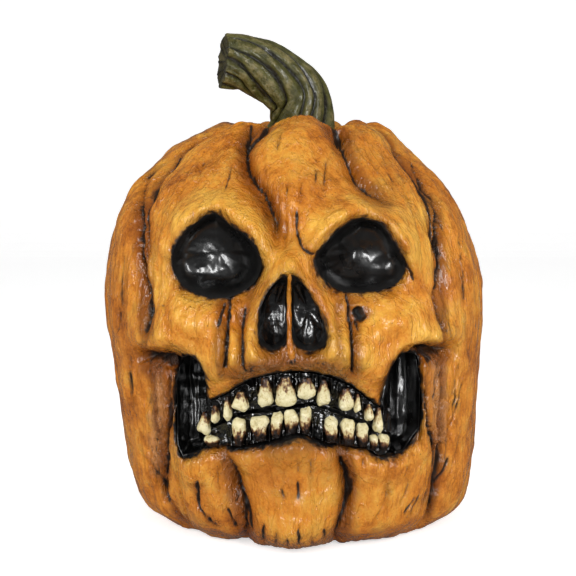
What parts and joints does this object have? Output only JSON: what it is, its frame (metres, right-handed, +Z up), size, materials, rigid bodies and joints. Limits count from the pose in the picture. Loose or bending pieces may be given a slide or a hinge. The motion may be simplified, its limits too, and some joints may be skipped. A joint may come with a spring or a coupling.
{
  "type": "skull pumpkin decoration",
  "caption": "Hollow ribbed pumpkin with a skull's face in its front: sunken sockets, nose cups, a toothed mouth and a bent ridged stem.",
  "frame": {"origin": "on the base's flat underside, on the floor, under the middle of the body's upper part", "axes": "+Z up, the face towards -Y, +X to the right as seen from the front"},
  "size_m": [0.2514, 0.2603, 0.3182],
  "materials": {
    "orange_paint": "orange paint with a brown wash in the grooves, under a satin varnish",
    "black_gloss": "high-gloss black paint",
    "tooth_paint": "satin cream paint with brown-stained roots",
    "stem_paint": "olive-green paint with a dark wash between the ridges, satin",
    "bare_casting": "unpainted dark casting, matte"
  },
  "bodies": {
    "root": {"front_shell": "orange_paint", "rear_shell": "orange_paint", "base_disc": "bare_casting", "seam_strip_left": "bare_casting", "seam_strip_right": "bare_casting", "stem": "stem_paint", "stem_ring": "bare_casting", "eye_socket_left": "black_gloss", "eye_socket_right": "black_gloss", "nose_cup_left": "black_gloss", "nose_cup_right": "black_gloss", "mouth_liner": "black_gloss", "upper_gum": "black_gloss", "lower_gum": "black_gloss", "upper_tooth_01": "tooth_paint", "upper_tooth_02": "tooth_paint", "upper_tooth_03": "tooth_paint", "upper_tooth_04": "tooth_paint", "upper_tooth_05": "tooth_paint", "upper_tooth_06": "tooth_paint", "upper_tooth_07": "tooth_paint", "upper_tooth_08": "tooth_paint", "upper_tooth_09": "tooth_paint", "upper_tooth_10": "tooth_paint", "upper_tooth_11": "tooth_paint", "upper_tooth_12": "tooth_paint", "lower_tooth_01": "tooth_paint", "lower_tooth_02": "tooth_paint", "lower_tooth_03": "tooth_paint", "lower_tooth_04": "tooth_paint", "lower_tooth_05": "tooth_paint", "lower_tooth_06": "tooth_paint", "lower_tooth_07": "tooth_paint", "lower_tooth_08": "tooth_paint", "lower_tooth_09": "tooth_paint", "lower_tooth_10": "tooth_paint", "lower_tooth_11": "tooth_paint"}
  },
  "joints": []
}
